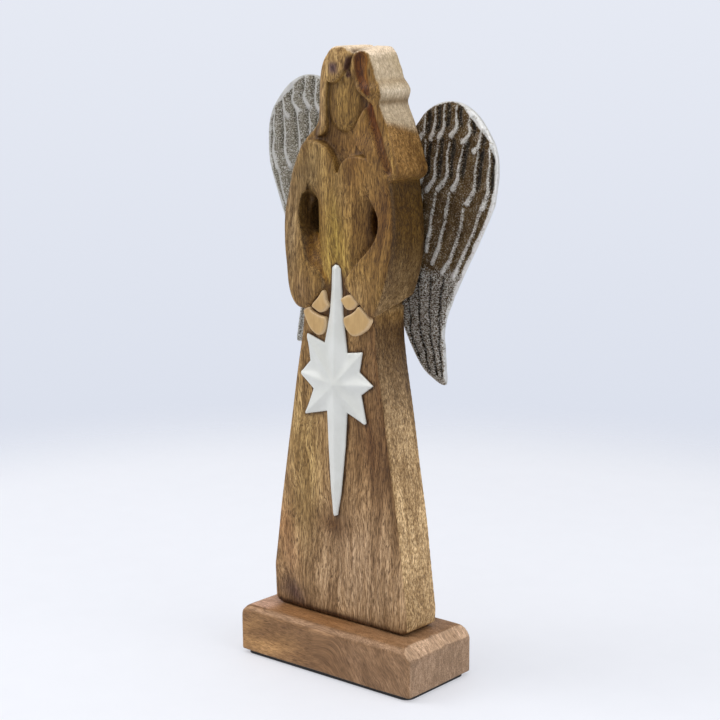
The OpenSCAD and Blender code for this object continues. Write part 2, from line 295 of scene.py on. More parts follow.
CURL_GROOVE = [(22, 363.5), (25, 355), (29.5, 346.5), (34.5, 337), (40.5, 326.5)]
STRAND_L = [(-6, 400), (-12, 392), (-13, 385), (-12, 377), (-13, 366), (-13, 357), (-12.5, 350),
    (-14.5, 346), (-19, 344), (-28, 342.5), (-36, 337), (-48, 345), (-30, 356), (-30, 392), (-12, 406)]
SLEEVE_CUT = [(-22, 281), (-21.5, 271), (-17, 262), (-12, 255)]
FACE = [(-13.5, 366), (-12.5, 358.5), (-10, 353), (-5.5, 349), (0.5, 347), (5, 349), (10, 353),
    (13, 359.5), (14, 367), (12, 378), (6, 386), (-8, 386), (-13, 378)]


def robe_field(g):
    """Robe: a tapered plank with lightly rounded edges and a softened hem."""
    side = loop_distance(np.array(ROBE, float), g.x, g.z)
    ease = 2.2 + 0.8 * ramp(-g.x, -10, 10)
    robe = round_edge(side, FRONT - g.y, ease)
    robe = round_edge(robe, g.y - BACK, 1.2)
    hem = HEM_Z - g.z + 1.6
    robe = soft_max(robe, (hem + FRONT - g.y) / math.sqrt(2), 1.2)
    return soft_max(robe, (hem + g.y - BACK) / math.sqrt(2), 1.2)


def sleeve_front(z):
    """The sleeves stand further forward towards the cuffs."""
    return -16.2 - 2.8 * ramp(-z, -312, -250)


def sleeves_field(g, arms):
    """Both sleeves, with soft outer edges, crisp edges beside the chest and cut cuffs."""
    front = sleeve_front(g.z)
    outer = round_edge(arms, front - g.y, 3.6)
    right = shape(SLEEVE_R, g) - 0.12 * np.maximum(g.y - FRONT, 0)
    undercut = 0.55 * np.maximum(g.y - front, 0) * ramp(-g.z, -290, -276)
    left = shape(SLEEVE_L, g) - undercut
    sleeves = round_edge(outer, np.minimum(right, left), 0.7)
    cuff = 235 + 0.34 * (g.y - front) - g.z
    return round_edge(sleeves, cuff, 1.6)


def torso_fall(g):
    """How far the torso's front falls back towards its sides and into the elbow's crease."""
    right = 0.022 * np.maximum(g.x - 7, 0) ** 2 * (0.5 + 0.5 * ramp(g.z, 262, 288))
    crease, _ = trace(ELBOW_CREASE, g)
    right = right + 1.6 * bell(crease, 2.6)
    left = 0.022 * np.maximum(-g.x - 5, 0) ** 2
    return right + left


def recess_field(g, arms):
    """The wood behind the sleeves and the torso, at the carved recesses' depth."""
    floor = -15.7 + 9.2 * ramp(g.z, 260, 291) * ramp(-g.z, -324, -306)
    floor = floor + 4.6 * ramp(g.z, 316, 324) + 3.2 * ramp(g.z, 320, 338)
    floor = floor + 0.4 * ripple(g.x, 0 * g.y, g.z, 7, 11) * ramp(g.z, 256, 266)
    core = soft_max(arms + 1.0, floor - g.y, 2.0)
    return soft_max(core, np.abs(g.x) - 27.5 - 40 * ramp(g.z, 246, 252), 1.5)


def torso_field(g):
    """Arms, torso and chest, with the carved hollows and the slots inside the elbows."""
    arms = shape(ARMS, g)
    fall = torso_fall(g)
    torso = FRONT - 1.0 + fall + 0.5 * ramp(-g.z, -270, -252)
    torso = soft_max(shape(TORSO, g) - 0.2 * (g.y - FRONT), torso - g.y, 1.5)
    chest = FRONT - 1.2 + fall * ramp(-g.z, -320, -300)
    chest = round_edge(arms, chest - g.y, 3.6)
    chest = round_edge(chest, shape(CHEST, g), 1.5)
    body = soft_min(recess_field(g, arms), torso, 1.6)
    body = soft_min(body, chest, 2.2)
    body = soft_min(body, sleeves_field(g, arms), 0.8)
    slots = np.minimum(shape(SLOT_R, g), shape(SLOT_L, g))
    body = soft_max(body, -slots, 2.4)
    return round_edge(body, g.y - BACK, 1.2)


def fringe_field(g, block):
    """The two lobes of hair over the brow; the right one is a curl with a scooped hollow."""
    dome = -14.8 + 0.011 * (g.x + 2.5) ** 2 + 0.008 * (g.z - 388) ** 2
    left = round_edge(soft_max(block, dome - g.y, 2.0), shape(LOBE_L, g), 1.8)
    bulge = 1.8 * bell(g.z - 374, 3.2) - 0.8 * bell(g.z - 367.8, 2.0)
    right = round_edge(block, -13.2 - bulge - g.y, 1.4)
    right = round_edge(right, shape(LOBE_R, g), 1.4)
    aside, along = trace(CURL_HOLLOW, g)
    scoop = 6.2 - 3.0 * along - np.hypot(aside, (g.y + 14.0 + bulge) * 1.7)
    return left, soft_max(right, scoop, 0.8)


def strands_field(g, block):
    """The long strands beside the face; the right one has a groove down its middle."""
    fall = -11.9 + 0.05 * np.maximum(-g.x - 13, 0) ** 2 - 1.6 * ramp(-g.z, -352, -345)
    left = round_edge(block, fall - g.y, 3.0)
    left = round_edge(left, shape(STRAND_L, g), 1.2)
    out = -13.4 - 2.6 * ramp(-g.z, -350, -334)
    right = round_edge(round_edge(block, out - g.y, 1.6), shape(STRAND_R, g), 2.0)
    aside, along = trace(CURL_GROOVE, g)
    groove = 3.8 - 1.6 * along - np.hypot(aside, (g.y - out + 0.6) * 0.9)
    return left, soft_max(right, groove, 1.2)


def face_field(g):
    """A blank, gently domed oval: this figure has no features."""
    brow = -11.3 + 0.012 * (g.x - 0.5) ** 2 + 0.0035 * (g.z - 362) ** 2
    return round_edge(shape(FACE, g) - 0.15 * (g.y + 11), brow - g.y, 3.2)


def neck_field(g):
    neck = soft_max(np.abs(g.x + 0.5) - 15.5, -8.2 - 1.6 * ramp(-g.z, -340, -326) - g.y, 5.0)
    return soft_max(soft_max(neck, 318 - g.z, 1), g.z - 356, 1)


def crown_height(g):
    """Top of the head, with a valley that runs back from the parting."""
    valley = g.x - 7.5 + 0.1 * (g.y + 15)
    floor = 395.2 + 0.1 * (g.y + 15)
    hump = np.minimum(TOP_Z - 0.1 * (BACK - g.y), floor + 0.7 * valley)
    return np.where(valley < 0, np.minimum(TOP_Z, floor - 1.3 * valley), hump)


def head_field(g):
    """Head: the hair's block, its two front lobes, the long strands, the face and the neck."""
    block = shape(HAIR, g)
    lobe_left, lobe_right = fringe_field(g, block)
    strand_left, strand_right = strands_field(g, block)
    head = soft_min(round_edge(block, -8.0 - g.y, 2.0), neck_field(g), 1.0)
    for part in (face_field(g), strand_left, lobe_left, strand_right, lobe_right):
        head = soft_min(head, part, 0.7)
    head = soft_max(head, g.z - crown_height(g), 0.8)
    seam, _ = trace(CLEFT, g)
    head = soft_max(head, np.minimum(1.0 - seam, -g.y - 11), 1.0)
    return round_edge(head, g.y - BACK, 1.2)


# Cloudy patches of colour on the front: strength, place in x and z, width, height, colour.
ROBE_PATCHES = (
    (0.9, 14, 66, 46, 44, (0.42, 0.294, 0.178)), (0.9, -30, 140, 15, 60, (0.41, 0.285, 0.112)),
    (0.7, -22, 210, 12, 26, (0.25, 0.15, 0.05)), (0.35, 12, 170, 12, 36, (0.15, 0.074, 0.024)),
    (0.75, 30, 158, 8, 52, (0.11, 0.044, 0.01)), (0.9, -4, 98, 13, 9, (0.12, 0.055, 0.014)),
    (0.5, -36, 100, 13, 12, (0.19, 0.115, 0.03)), (0.7, -46, 64, 12, 14, (0.315, 0.18, 0.085)),
    (0.6, -53, 84, 8, 14, (0.32, 0.16, 0.06)), (0.95, -41, 41, 17, 9, (0.095, 0.05, 0.036)))
TORSO_PATCHES = (
    (0.75, 3, 288, 11, 30, (0.415, 0.3, 0.062)), (0.5, 10, 318, 20, 14, (0.33, 0.22, 0.085)),
    (0.8, -24, 322, 9, 20, (0.215, 0.148, 0.06)), (0.85, 35, 296, 13, 26, (0.145, 0.068, 0.014)),
    (0.6, -36, 290, 9, 45, (0.275, 0.205, 0.12)), (0.8, 22, 254, 12, 11, (0.34, 0.22, 0.086)),
    (0.7, -24, 252, 9, 10, (0.215, 0.135, 0.064)), (0.9, 0, 393, 14, 10, (0.55, 0.375, 0.16)))
# Painted shadow behind the hands: place in x and z, width, height.
HAND_SHADOWS = ((-13, 236, 12, 13), (12, 239.5, 12, 13), (6, 252, 5, 9), (-7, 247, 4, 8))


# The grain coordinates shrink this much along the fibres.
FIBRE_STRETCH = 0.12


class WoodSkin:
    """The carved surface's points, and the timber colour that the tints are blended into."""

    def __init__(self, x, y, z, normal):
        self.x, self.y, self.z, self.normal = x, y, z, normal
        self.drift = 5 * ripple(x, y, z / 3, 30, 3)
        self.front = ramp(-normal[:, 1], 0.2, 0.7)
        self.right = ramp(normal[:, 0], 0.5, 0.8)
        self.top = ramp(normal[:, 2], 0.3, 0.75)
        upper = ramp(z, 195, 260)[:, None]
        self.colour = np.array([0.3, 0.188, 0.084]) * (1 - upper) + np.array([0.25, 0.15, 0.04]) * upper

    def patch(self, px, pz, wide, tall):
        """A cloudy spot with a wandering outline."""
        across, up = self.x - px + self.drift, self.z - pz + self.drift
        return bell(across, wide) * bell(up, tall)

    def spot(self, px, pz, wide, tall, power=4):
        """A plain round spot: flat in the middle at a high power, soft at 2."""
        return bell(self.x - px, wide, power) * bell(self.z - pz, tall, power)

    def level(self, pz, tall):
        return bell(self.z - pz, tall)

    def blend(self, mask, rgb):
        self.colour = blended(self.colour, mask, rgb)

    def blend_patches(self, patches):
        for strength, px, pz, wide, tall, rgb in patches:
            self.blend(strength * self.patch(px, pz, wide, tall), rgb)


def tint_robe(skin):
    """Pale and pinkish below, olive-gold on the left, purplish at the corner, a dark edge."""
    skin.blend_patches(ROBE_PATCHES)
    edge = 28.8 + (236 - skin.z) * 0.118
    band = ramp(skin.x, edge - 11, edge - 1.0) * skin.front
    band = band * ramp(skin.z, 70, 170) * ramp(-skin.z, -245, -236)
    skin.blend(0.8 * band, (0.125, 0.062, 0.022))


def tint_torso(skin):
    """Olive in the middle of the chest, darker and redder on the arms, gold at the fringe; painted shade
    under the chin.
    """
    skin.blend_patches(TORSO_PATCHES)
    front = skin.front
    left_strand = bell(skin.x + 16, 4, 4) * ramp(skin.z, 346, 356)
    skin.blend(0.5 * left_strand * front, (0.42, 0.29, 0.14))
    skin.blend(0.8 * skin.spot(-4, 388, 8, 9) * front, (0.4, 0.275, 0.115))
    skin.blend(0.8 * skin.patch(24, 345, 12, 26) * front, (0.19, 0.095, 0.02))
    # Painted shade in the throat under the chin, darkest where the carving is deepest.
    throat_shade = skin.patch(0, 335, 14, 9) * ramp(skin.y, -14.5, -12)
    skin.blend(0.8 * throat_shade * front, (0.15, 0.08, 0.014))


def tint_sides(skin):
    """Side faces: sandy below, dark beside the arm and in the painted shadow under the sleeve, pale
    sapwood at the head, paler on top with painted light.
    """
    x, y, z, right, blend = skin.x, skin.y, skin.z, skin.right, skin.blend
    # The robe's side is dark up under the sleeve, a painted shadow, and fades to sandy timber lower down.
    sandy = ramp(-z, -235, -120)[:, None]
    side = np.array([0.08, 0.044, 0.015]) * (1 - sandy) + np.array([0.48, 0.345, 0.18]) * sandy
    blend(0.9 * right * ramp(-z, -240, -225), side)
    blend(0.85 * right * ramp(z, 236, 256) * ramp(-z, -325, -316), (0.078, 0.044, 0.009))
    blend(0.75 * right * ramp(z, 234, 240) * ramp(-z, -288, -250), (0.225, 0.155, 0.075))
    beyond_strand = (x >= 30) & (z <= 385)
    blend(0.9 * right * ramp(z, 318, 324) * beyond_strand, (0.225, 0.128, 0.04))
    blend(0.95 * right * ramp(z + 0.25 * y, 349, 355) * (x > 22), (0.47, 0.385, 0.262))
    # The head's upward-facing top is paler: pale end grain, with painted light from above.
    blend(0.95 * skin.top * ramp(z, 385, 395), (0.82, 0.69, 0.52))


def tint_hollow_shade(skin):
    """Painted shade, with darker stain, in the recesses beside the torso, under the hair and round the
    face.
    """
    x, y, z, front, blend = skin.x, skin.y, skin.z, skin.front, skin.blend
    outline = np.minimum(shape(ARMS, skin), shape(HAIR, skin))
    within = ramp(-outline, 1.5, 4.0) * ramp(z, 248, 256)
    sunk_shade = ramp(y, sleeve_front(z) + 2.0 + 3.4 * ramp(z, 338, 346), -7.5)
    # Painted shade that deepens with the carving's depth below the sleeves' front.
    blend(0.85 * within * sunk_shade * (x > 0), (0.08, 0.034, 0.006))
    blend(0.75 * within * sunk_shade * (x <= 0), (0.12, 0.066, 0.02))
    # Deepest painted shade, on the wall of the slot inside the left elbow.
    slot_shade = ramp(y, -12, -8) * ramp(x, -25, -22) * (x < 0)
    blend(0.8 * within * slot_shade, (0.045, 0.018, 0.006))
    blend(0.65 * skin.patch(-1, 336, 24, 11) * sunk_shade * front, (0.27, 0.15, 0.04))
    blend(0.9 * skin.spot(0.4, 365, 10.5, 14.5) * front, (0.225, 0.136, 0.034))
    # Painted shade in the recess under the left sleeve's cut edge.
    cut, _ = trace(SLEEVE_CUT, skin)
    blend(0.95 * ramp(-cut, -6, -2.5) * ramp(y, -17.2, -15.8), (0.215, 0.112, 0.018))


def tint_curls(skin):
    """Red-brown in the curl's hollow and the strand's groove, and painted shade and a painted highlight
    in the side's ripples.
    """
    x, y, z, blend = skin.x, skin.y, skin.z, skin.blend
    curl, along = trace(CURL_HOLLOW, skin)
    hollow = ramp(-curl, -6.2 + 2.8 * along, -4.8 + 2.6 * along) * (y < -8)
    hollow = hollow * ramp(-skin.normal[:, 1], 0, 0.4)
    spine = np.array(CURL_HOLLOW, float)[::-1]
    aside = x - np.interp(z, spine[:, 1], spine[:, 0])
    blend(0.9 * hollow, (0.185, 0.07, 0.003))
    blend(0.95 * hollow * ramp(-aside + 1.6 * along, -0.2, 1.6), (0.11, 0.034, 0.002))
    ledge = skin.right * (x > 22)
    # Painted shade in the creases at 366.8 and 379.5, and a painted highlight on the bulge at 373.5.
    blend(0.8 * ledge * skin.level(366.8, 2.0), (0.19, 0.125, 0.055))
    blend(0.6 * ledge * skin.level(373.5, 2.2), (0.64, 0.55, 0.41))
    blend(0.6 * ledge * skin.level(379.5, 1.5), (0.29, 0.215, 0.12))
    blend(0.5 * ledge * ramp(y, 0, 12) * ramp(z, 380, 388), (0.33, 0.255, 0.14))
    groove, along = trace(CURL_GROOVE, skin)
    blend(0.9 * ramp(-groove, -4.0, -1.8) * (1 - 0.5 * along) * (y < -8), (0.098, 0.022, 0.001))


def tint_knot(skin):
    """The knot on the fringe, and the dark cleft beside it, where painted shade lies over dark stain."""
    skin.blend(0.95 * skin.spot(-4.5, 386.5, 3.8, 3.6) * skin.front, (0.135, 0.078, 0.078))
    skin.blend(0.95 * skin.spot(-4.5, 386.5, 1.5, 1.4, 2) * skin.front, (0.05, 0.028, 0.03))
    # Painted shade, over dark stain, in the narrow cleft between the lobes.
    cleft, _ = trace(CLEFT, skin)
    near_face = ramp(-skin.y, 8, 10) * ramp(-skin.z, -396, -392)
    skin.blend(0.95 * ramp(-cleft, -2.4, -1.4) * near_face, (0.085, 0.04, 0.032))


def tint_contact_shadows(skin):
    """Painted shadow where other pieces meet the figure: round the star, along the hem and behind the
    hands.
    """
    x, y, z = skin.x, skin.y, skin.z
    # A thin painted shadow on the robe round the star's rim.
    away = loop_distance(np.array(STAR_RIM, float), x, z - STAR_Z)
    facing = (y < -13) & (skin.normal[:, 1] < -0.5)
    skin.blend(0.7 * ramp(-away, -1.8, -0.5) * facing, (0.06, 0.028, 0.012))
    # Painted shadow along the hem, heavier at the left, and a darker painted shadow at the very foot.
    hem = ramp(-z, -HEM_Z - 5.5, -HEM_Z - 4.0) * (1 - 0.5 * ramp(x, 0, 50)) * skin.front
    hem_foot_shadow = ramp(-z, -HEM_Z - 3, -HEM_Z - 1.5)
    skin.blend(0.9 * np.maximum(hem, hem_foot_shadow), (0.06, 0.026, 0.01))
    # Painted shadow on the robe behind the hands and cuffs.
    for place in HAND_SHADOWS:
        skin.blend(0.9 * skin.spot(*place) * (y > -17.2), (0.075, 0.034, 0.01))


def wood_tint(x, y, z, normal):
    """Large-scale colour of the figure's timber, with painted shade, shadow and highlight; later tints
    lie over earlier ones.
    """
    skin = WoodSkin(x, y, z, normal)
    for tint in (tint_robe, tint_torso, tint_sides, tint_hollow_shade, tint_curls, tint_knot,
                 tint_contact_shadows):
        tint(skin)
    return skin.colour


def wood_calm(y, z, normal):
    """Where the pores hardly show: the pale sapwood on top of the head and down its side."""
    right, top = ramp(normal[:, 0], 0.4, 0.8), ramp(normal[:, 2], 0.3, 0.8)
    return np.clip(right * ramp(z + 0.25 * y, 349, 356) + top * ramp(z, 385, 395), 0, 1)


def wood_grain(x, y, z):
    """Coordinates that follow the timber's fibres, shrunk along them, in metres."""
    lean = 0.9 * ripple(x, y, z / 2, 17, 61) + 1.6 * ripple(x, y, z / 2, 42, 62)
    vee = 9 * bell(z - 96, 22) * bell(x + 4, 18)
    return np.stack([x + lean, y + 0.6 * lean, FIBRE_STRETCH * (z + vee)], 1) * MM


def make_body(material):
    """The whole carving from one plank; the plain robe is sampled more coarsely up and down."""
    waist = 205
    heights = [np.arange(HEM_Z - 2, waist, 2.0), steps_of(waist, TOP_Z + 4, 0.85)]
    g = Grid(steps_of(-59, 57.5, 0.9), steps_of(-21.5, 17.5, 0.9), np.concatenate(heights))
    field = soft_min(robe_field(g), torso_field(g), 0.8)
    field = soft_min(field, head_field(g), 0.8)
    field = field + 0.14 * ripple(g.x, g.y, g.z / 2, 22, 5)
    field = soft_max(field, HEM_Z - g.z, 0.6)
    field = np.maximum(field, g.z - TOP_Z)
    points, quads = surface(field, g)
    x, y, z = points.T
    facing = normals(points, quads)
    piece_of("carved_body", points, quads, material, "body",
             {"tint": wood_tint(x, y, z, facing), "grain": wood_grain(x, y, z),
              "calm": wood_calm(y, z, facing), "side": ramp(np.abs(facing[:, 0]), 0.5, 0.8)})


# ---- Painted hands ----

PALM_R = [(17, 241), (19.5, 241.5), (23, 239), (26, 236.5), (28, 234), (27, 231), (24.5, 227.5),
    (19.5, 224), (15.5, 222.5), (12, 223), (8, 226.5), (6, 231), (6.5, 233.5), (9, 235), (12, 236.5),
    (15.5, 239)]
THUMB_R = [(4, 244.5), (5.5, 246), (8, 247.5), (11.5, 248.5), (14, 248), (16, 246), (18, 244), (17, 242),
    (15, 240), (11.5, 238.5), (8.5, 239), (6, 241.5)]
PALM_L = [(-27, 234.5), (-24.5, 228), (-21, 223), (-16, 220), (-12, 220.5), (-9, 224), (-8, 228.5),
    (-9, 232), (-13, 232.5), (-17.5, 234), (-20.5, 235.5), (-22, 237.5)]
THUMB_L = [(-20, 238.5), (-14.5, 244.5), (-11, 249), (-9, 247.5), (-8, 243), (-6, 239.5), (-9, 236),
    (-13, 234.5), (-17, 236)]


def make_hand(name, palm, thumb, material):
    """Palm and thumb as two flat pads with rounded rims, carved out of the same plank."""
    loop = np.array(palm + thumb, float)
    (left, bottom), (right, top) = loop.min(0), loop.max(0)
    g = Grid(steps_of(left, right, 0.42, 2), steps_of(-20.5, -13.5, 0.42), steps_of(bottom, top, 0.42, 2))
    lower = round_edge(shape(palm, g) + 0.1, -18.2 - g.y, 1.3)
    upper = round_edge(shape(thumb, g) + 0.1, -18.7 - g.y, 1.6)
    field = soft_max(soft_min(lower, upper, 0.3), g.y + 14.4, 0.3)
    points, quads = surface(field, g)
    x, _, z = points.T
    pads = [loop_distance(smooth_loop(outline), x, z) for outline in (palm, thumb)]
    rim = bell(np.maximum(-np.minimum(*pads), 0), 1.1)
    piece_of(name, points, quads, material, "body", {"rim": rim})


# ---- Star ----

# The star's middle, and its rim and the tips of its ridges measured from there.
STAR_Z = STAR_BOX[1][2] - 75.5
STAR_RIM = [(-1.5, 76), (1, 75.5), (3, 73.5), (4, 60), (5, 45), (8, 21), (20.5, 23), (18, 10), (29, 2.5),
    (19.5, -4.5), (23.5, -22), (22.5, -23), (8, -17.5), (6.5, -40), (3, -70), (0, -85.5), (-3, -87),
    (-5.5, -70), (-7.5, -40), (-8.5, -18.5), (-27, -23), (-20, -5.5), (-29.5, 2), (-30, 4.5),
    (-22.5, 12.5), (-25, 30), (-10.5, 25.5), (-6, 45), (-4.5, 60), (-4, 74)]
STAR_TIPS = [(-0.5, 73), (19.5, 21), (28, 2.5), (22, -21.5), (-1.5, -84), (-25.5, -21.5), (-29, 3.5),
    (-24, 27.5)]


def make_star(material):
    """Ridged rays: the face slopes from each ray's ridge down to the rim."""
    g = Grid(steps_of(-32, 31, 0.5), steps_of(-22.5, -13, 0.5),
             steps_of(STAR_Z - 89, STAR_Z + 78, 0.5))
    u, v = g.x, g.z - STAR_Z
    rim = loop_distance(np.array(STAR_RIM, float), u, v)
    rise = np.zeros(np.broadcast(u, v).shape)
    for tip in STAR_TIPS:
        d, along = path_distance(np.array([(0, 0), tip], float), u, v)
        is_long = math.hypot(*tip) > 50
        half = 10 - 7 * along if is_long else 11 - 8.5 * along
        top = 5.6 - (2.2 if is_long else 2.6) * along
        slope = top - (top - 1.6) * np.clip(np.hypot(d, 0.5) / half, 0, 1.6)
        rise = soft_max(rise, slope, 1.4)
    rise = soft_max(rise, 1.8, 0.6)
    field = soft_max(rim, FRONT - rise - g.y, 1.1)
    field = soft_max(field, g.y - FRONT, 0.4)
    points, quads = surface(field, g)
    # Painted shade on the star's lower flank, next to the robe.
    flank_shade = ramp(points[:, 1], FRONT - 1.3, FRONT - 0.5)
    piece_of("enamel_star", points, quads, material, "star", {"flank_shade": flank_shade})


# ---- Wings ----

WING = [(22, 340), (35, 352), (42, 360), (50, 365), (60, 367.5), (71.5, 366), (82, 359.5), (90, 350),
    (95.5, 340), (97.5, 328), (95.5, 310), (92, 300), (82, 280), (71.5, 260), (62, 240), (58, 226),
    (59, 210), (60, 194), (57.5, 191.5), (51, 194), (42, 200), (34, 211), (26, 226), (23, 240), (20, 270)]
# Raised quills: each runs down one feather and hooks under its tip.
TOP_QUILLS = [
    [(43.5, 360), (43.5, 354), (42.5, 348), (38.5, 343.5)],
    [(51.5, 363), (51, 356), (50, 349), (47, 344)],
    [(58, 365), (58, 357), (57.5, 351), (54.5, 346)],
    [(67.5, 366), (67, 357.5), (67, 351.5), (63.5, 347)],
    [(77.5, 361), (76.5, 354), (77, 349), (72.5, 343.5)],
    [(86, 353), (85, 346.5), (84, 341.5), (80.5, 338.5)]]
MIDDLE_QUILLS = [
    [(43.5, 343), (43, 331), (41.5, 321), (37, 313)],
    [(53.5, 343.5), (52, 331.5), (50.5, 320.5), (44.5, 312.5)],
    [(62, 343), (60.5, 334), (59.5, 321), (53.5, 314)],
    [(72.5, 341.5), (70, 332.5), (68.5, 322), (64.5, 314.5)],
    [(84, 338.5), (82, 330.5), (80.5, 315), (75.5, 306.5)],
    [(92, 341), (91.5, 331), (90.5, 314), (86.5, 304)]]
LOWER_QUILLS = [
    [(41.5, 311), (39, 299), (36.5, 286), (34.5, 276)],
    [(52, 311), (49.5, 300), (47, 286), (44.5, 275)],
    [(62, 312), (59, 297.5), (54.5, 279.5), (49.5, 268)],
    [(73, 303), (70, 289), (63.5, 272.5), (57, 262.5)],
    [(85.5, 304), (80.5, 290), (74, 276.5), (66, 261)]]
PRIMARY_GROOVES = [
    [(31, 268), (30.5, 246), (33, 222), (40, 205)],
    [(39, 268), (38.5, 246), (40.5, 222), (48, 200)],
    [(48.5, 266), (47, 246), (47.5, 224), (53.5, 198)],
    [(58.5, 264), (55.5, 246), (54.5, 226), (57, 197)]]
FLANGE = [(8, 262), (8, 340), (36, 340), (36, 262)]
# Each tier: its quills, its lift, its trenches' depth, and the quills' width and growth.
TIERS = ((LOWER_QUILLS, 0.15, 0.25, 1.1, 0.6), (MIDDLE_QUILLS, 0.4, 1.0, 0.7, 1.3),
         (TOP_QUILLS, 0.6, 1.0, 0.7, 1.3))
WING_FRONT, WING_BACK = WING_BOX[0][1] + 0.2, WING_BOX[1][1]
FLANGE_BACK = WING_BOX[0][1] + 4.0
SCREW_X = middle("wing_screw_right_upper", 0)
SCREW_ZS = (middle("wing_screw_right_lower", 2), middle("wing_screw_right_upper", 2))
LEFT_PIVOT, LEFT_TURN = (-60.0, 290.0), math.radians(6)
LEFT_SHIFT, LEFT_LIFT = 6.0, 13.0


def tier_cover(x, z, quills):
    """Where a tier of feathers lies over the one below, and the distance left to a quill."""
    gap = np.full(np.broadcast(x, z).shape, 9.0)
    tips = []
    for quill in quills:
        path = smooth_path(quill)
        left = np.interp(z, path[::-1, 1], path[::-1, 0]) - x
        gap = np.minimum(gap, np.where(left < -0.5, 9.0, np.maximum(left, 0)))
        notch = (quill[1][0] + quill[2][0]) / 2, quill[3][1] + 5.5
        tips += [quill[3], notch]
    tips = np.array(tips)
    return ramp(z - np.interp(x, tips[:, 0], tips[:, 1]), -0.5, 0.5), gap


def wing_relief(x, z):
    """Height of the relief above the wing's lowest ground, its polish, and soot with painted shadow.

    Each tier of feathers laps over the next; each feather rises to the quill on its right."""
    wobble = 0.4 * ripple(x, 0 * x, z, 11, 22)
    x, z = x + wobble, z + 0.5 * wobble
    low = ramp(-z, -266, -256)
    pitted = 0.2 + 0.2 * ripple(x, 0 * x, z * 3, 4, 21)
    height = 0.55 + 0.15 * ripple(x, 0 * x, z, 6, 23) + low * pitted
    polish = np.zeros_like(height)
    soot_and_shadow = np.zeros_like(height)
    for groove in PRIMARY_GROOVES:
        aside, _ = path_distance(smooth_path(groove), x, z)
        height = height - 0.8 * bell(aside, 0.9) * low
        soot_and_shadow = np.maximum(soot_and_shadow, 1.1 * bell(aside, 0.8) * low)
    for quills, lift, depth, root_width, growth in TIERS:
        cover, gap = tier_cover(x, z, quills)
        height = height * (1 - cover) + (lift + 0.95 - 0.1 * gap) * cover
        polish = polish * (1 - cover) + 0.16 * np.clip(1 - gap / 6, 0, 1) * cover
        soot_and_shadow = soot_and_shadow * (1 - cover)
        for quill in quills:
            path = smooth_path(quill)
            trench, along = path_distance(path + np.array([2.9, 1.0]), x, z)
            dip = bell(trench, 1.7, 4) * (1 - 0.8 * ramp(along, 0.62, 0.85)) * depth
            crest, along = path_distance(path, x, z)
            width = root_width + growth * along ** 2
            ridge = bell(crest, width)
            height = height * (1 - ridge) + (lift + 1.25 + 0.2 * along) * ridge - 0.5 * dip
            shine = (0.8 + 0.45 * along ** 2) * bell(crest, width, 4)
            polish = np.maximum(polish * (1 - dip), shine)
            # Black grit with painted shadow in the trench beside each quill.
            soot_and_shadow = np.maximum(soot_and_shadow * (1 - ridge), dip)
    return height, polish, soot_and_shadow


def place_left(points):
    """Mirrors a right-hand piece, turns it about the left wing's middle and lifts it."""
    px, pz = LEFT_PIVOT
    x, y, z = -points[:, 0] - px, points[:, 1], points[:, 2] - pz
    cos, sin = math.cos(LEFT_TURN), math.sin(LEFT_TURN)
    return np.stack([x * cos + z * sin + px + LEFT_SHIFT, y, z * cos - x * sin + pz + LEFT_LIFT], 1)


def wing_field(g):
    """Blade with the relief on its front, and the plain root flange with its screw holes."""
    outline = shape(WING, g) + 0.15
    relief, _, _ = wing_relief(g.x, g.z)
    edge = ramp(-outline, 0, 2.5)
    front = WING_FRONT + 2.1 - relief * edge - 0.6 * (1 - edge)
    blade = soft_max(outline, front - g.y, 1.6)
    rough = 0.18 * ripple(g.x, g.y, g.z, 9, 8)
    blade = soft_max(blade, g.y - WING_BACK + 0.3 + rough, 1.8)
    blade = soft_max(blade, 18 - g.x, 1.0)
    flange = loop_distance(np.array(FLANGE, float), g.x, g.z)
    flange = soft_max(flange, WING_FRONT - 0.2 - g.y, 0.6)
    flange = soft_max(flange, g.y - FLANGE_BACK, 1.0)
    for hole_z in SCREW_ZS:
        flange = soft_max(flange, 2.0 - np.hypot(g.x - SCREW_X, g.z - hole_z), 0.4)
    return soft_min(blade, flange, 1.0)


def wing_rim(x, y, z):
    """The polished band along the wing's outer edge, widest at the shoulder."""
    out = loop_distance(smooth_loop(WING), x, z)
    shoulder = 2.6 * bell(x - 83, 10) * bell(z - 358, 9)
    band = 0.9 + 1.3 * ramp(x, 62, 84) + shoulder + 0.5 * ripple(x, y, z, 9, 24)
    return ramp(out, -band - 0.7, -band + 0.7) * ramp(-out, -2.0, -1.0)


def make_wings(material):
    g = Grid(steps_of(5, 100, 0.53), steps_of(13.8, 22, 0.5), steps_of(189, 369, 0.53))
    points, quads = surface(wing_field(g), g)
    x, y, z = points.T
    _, polish, soot_and_shadow = wing_relief(x, z)
    rim = wing_rim(x, y, z)
    facing = ramp(-normals(points, quads)[:, 1], 0.0, 0.5)
    worn_rim = (1.15 + 0.6 * ramp(x, 60, 80)) * rim
    polish = np.maximum(polish * facing, worn_rim) + 0.35 * (1 - facing)
    behind = 0.6 * (1 - facing)
    data = {"polish": polish, "lower": ramp(-z, -268, -258) * facing,
            "soot_and_shadow": soot_and_shadow * facing * (1 - rim), "pale_back_and_painted_light": behind, "back": 1 - facing}
    piece_of("cast_wing_right", points, quads, material, "right_wing", data)
    # The left wing carries painted light: it is paler all over. Its outer edge is worn less.
    data["pale_back_and_painted_light"] = facing + behind
    data["polish"] = polish - 0.9 * rim * ramp(x, 78, 92) * ramp(-z, -352, -340)
    piece_of("cast_wing_left", place_left(points), quads[:, ::-1], material, "left_wing",
             data)


# ---- Base block ----

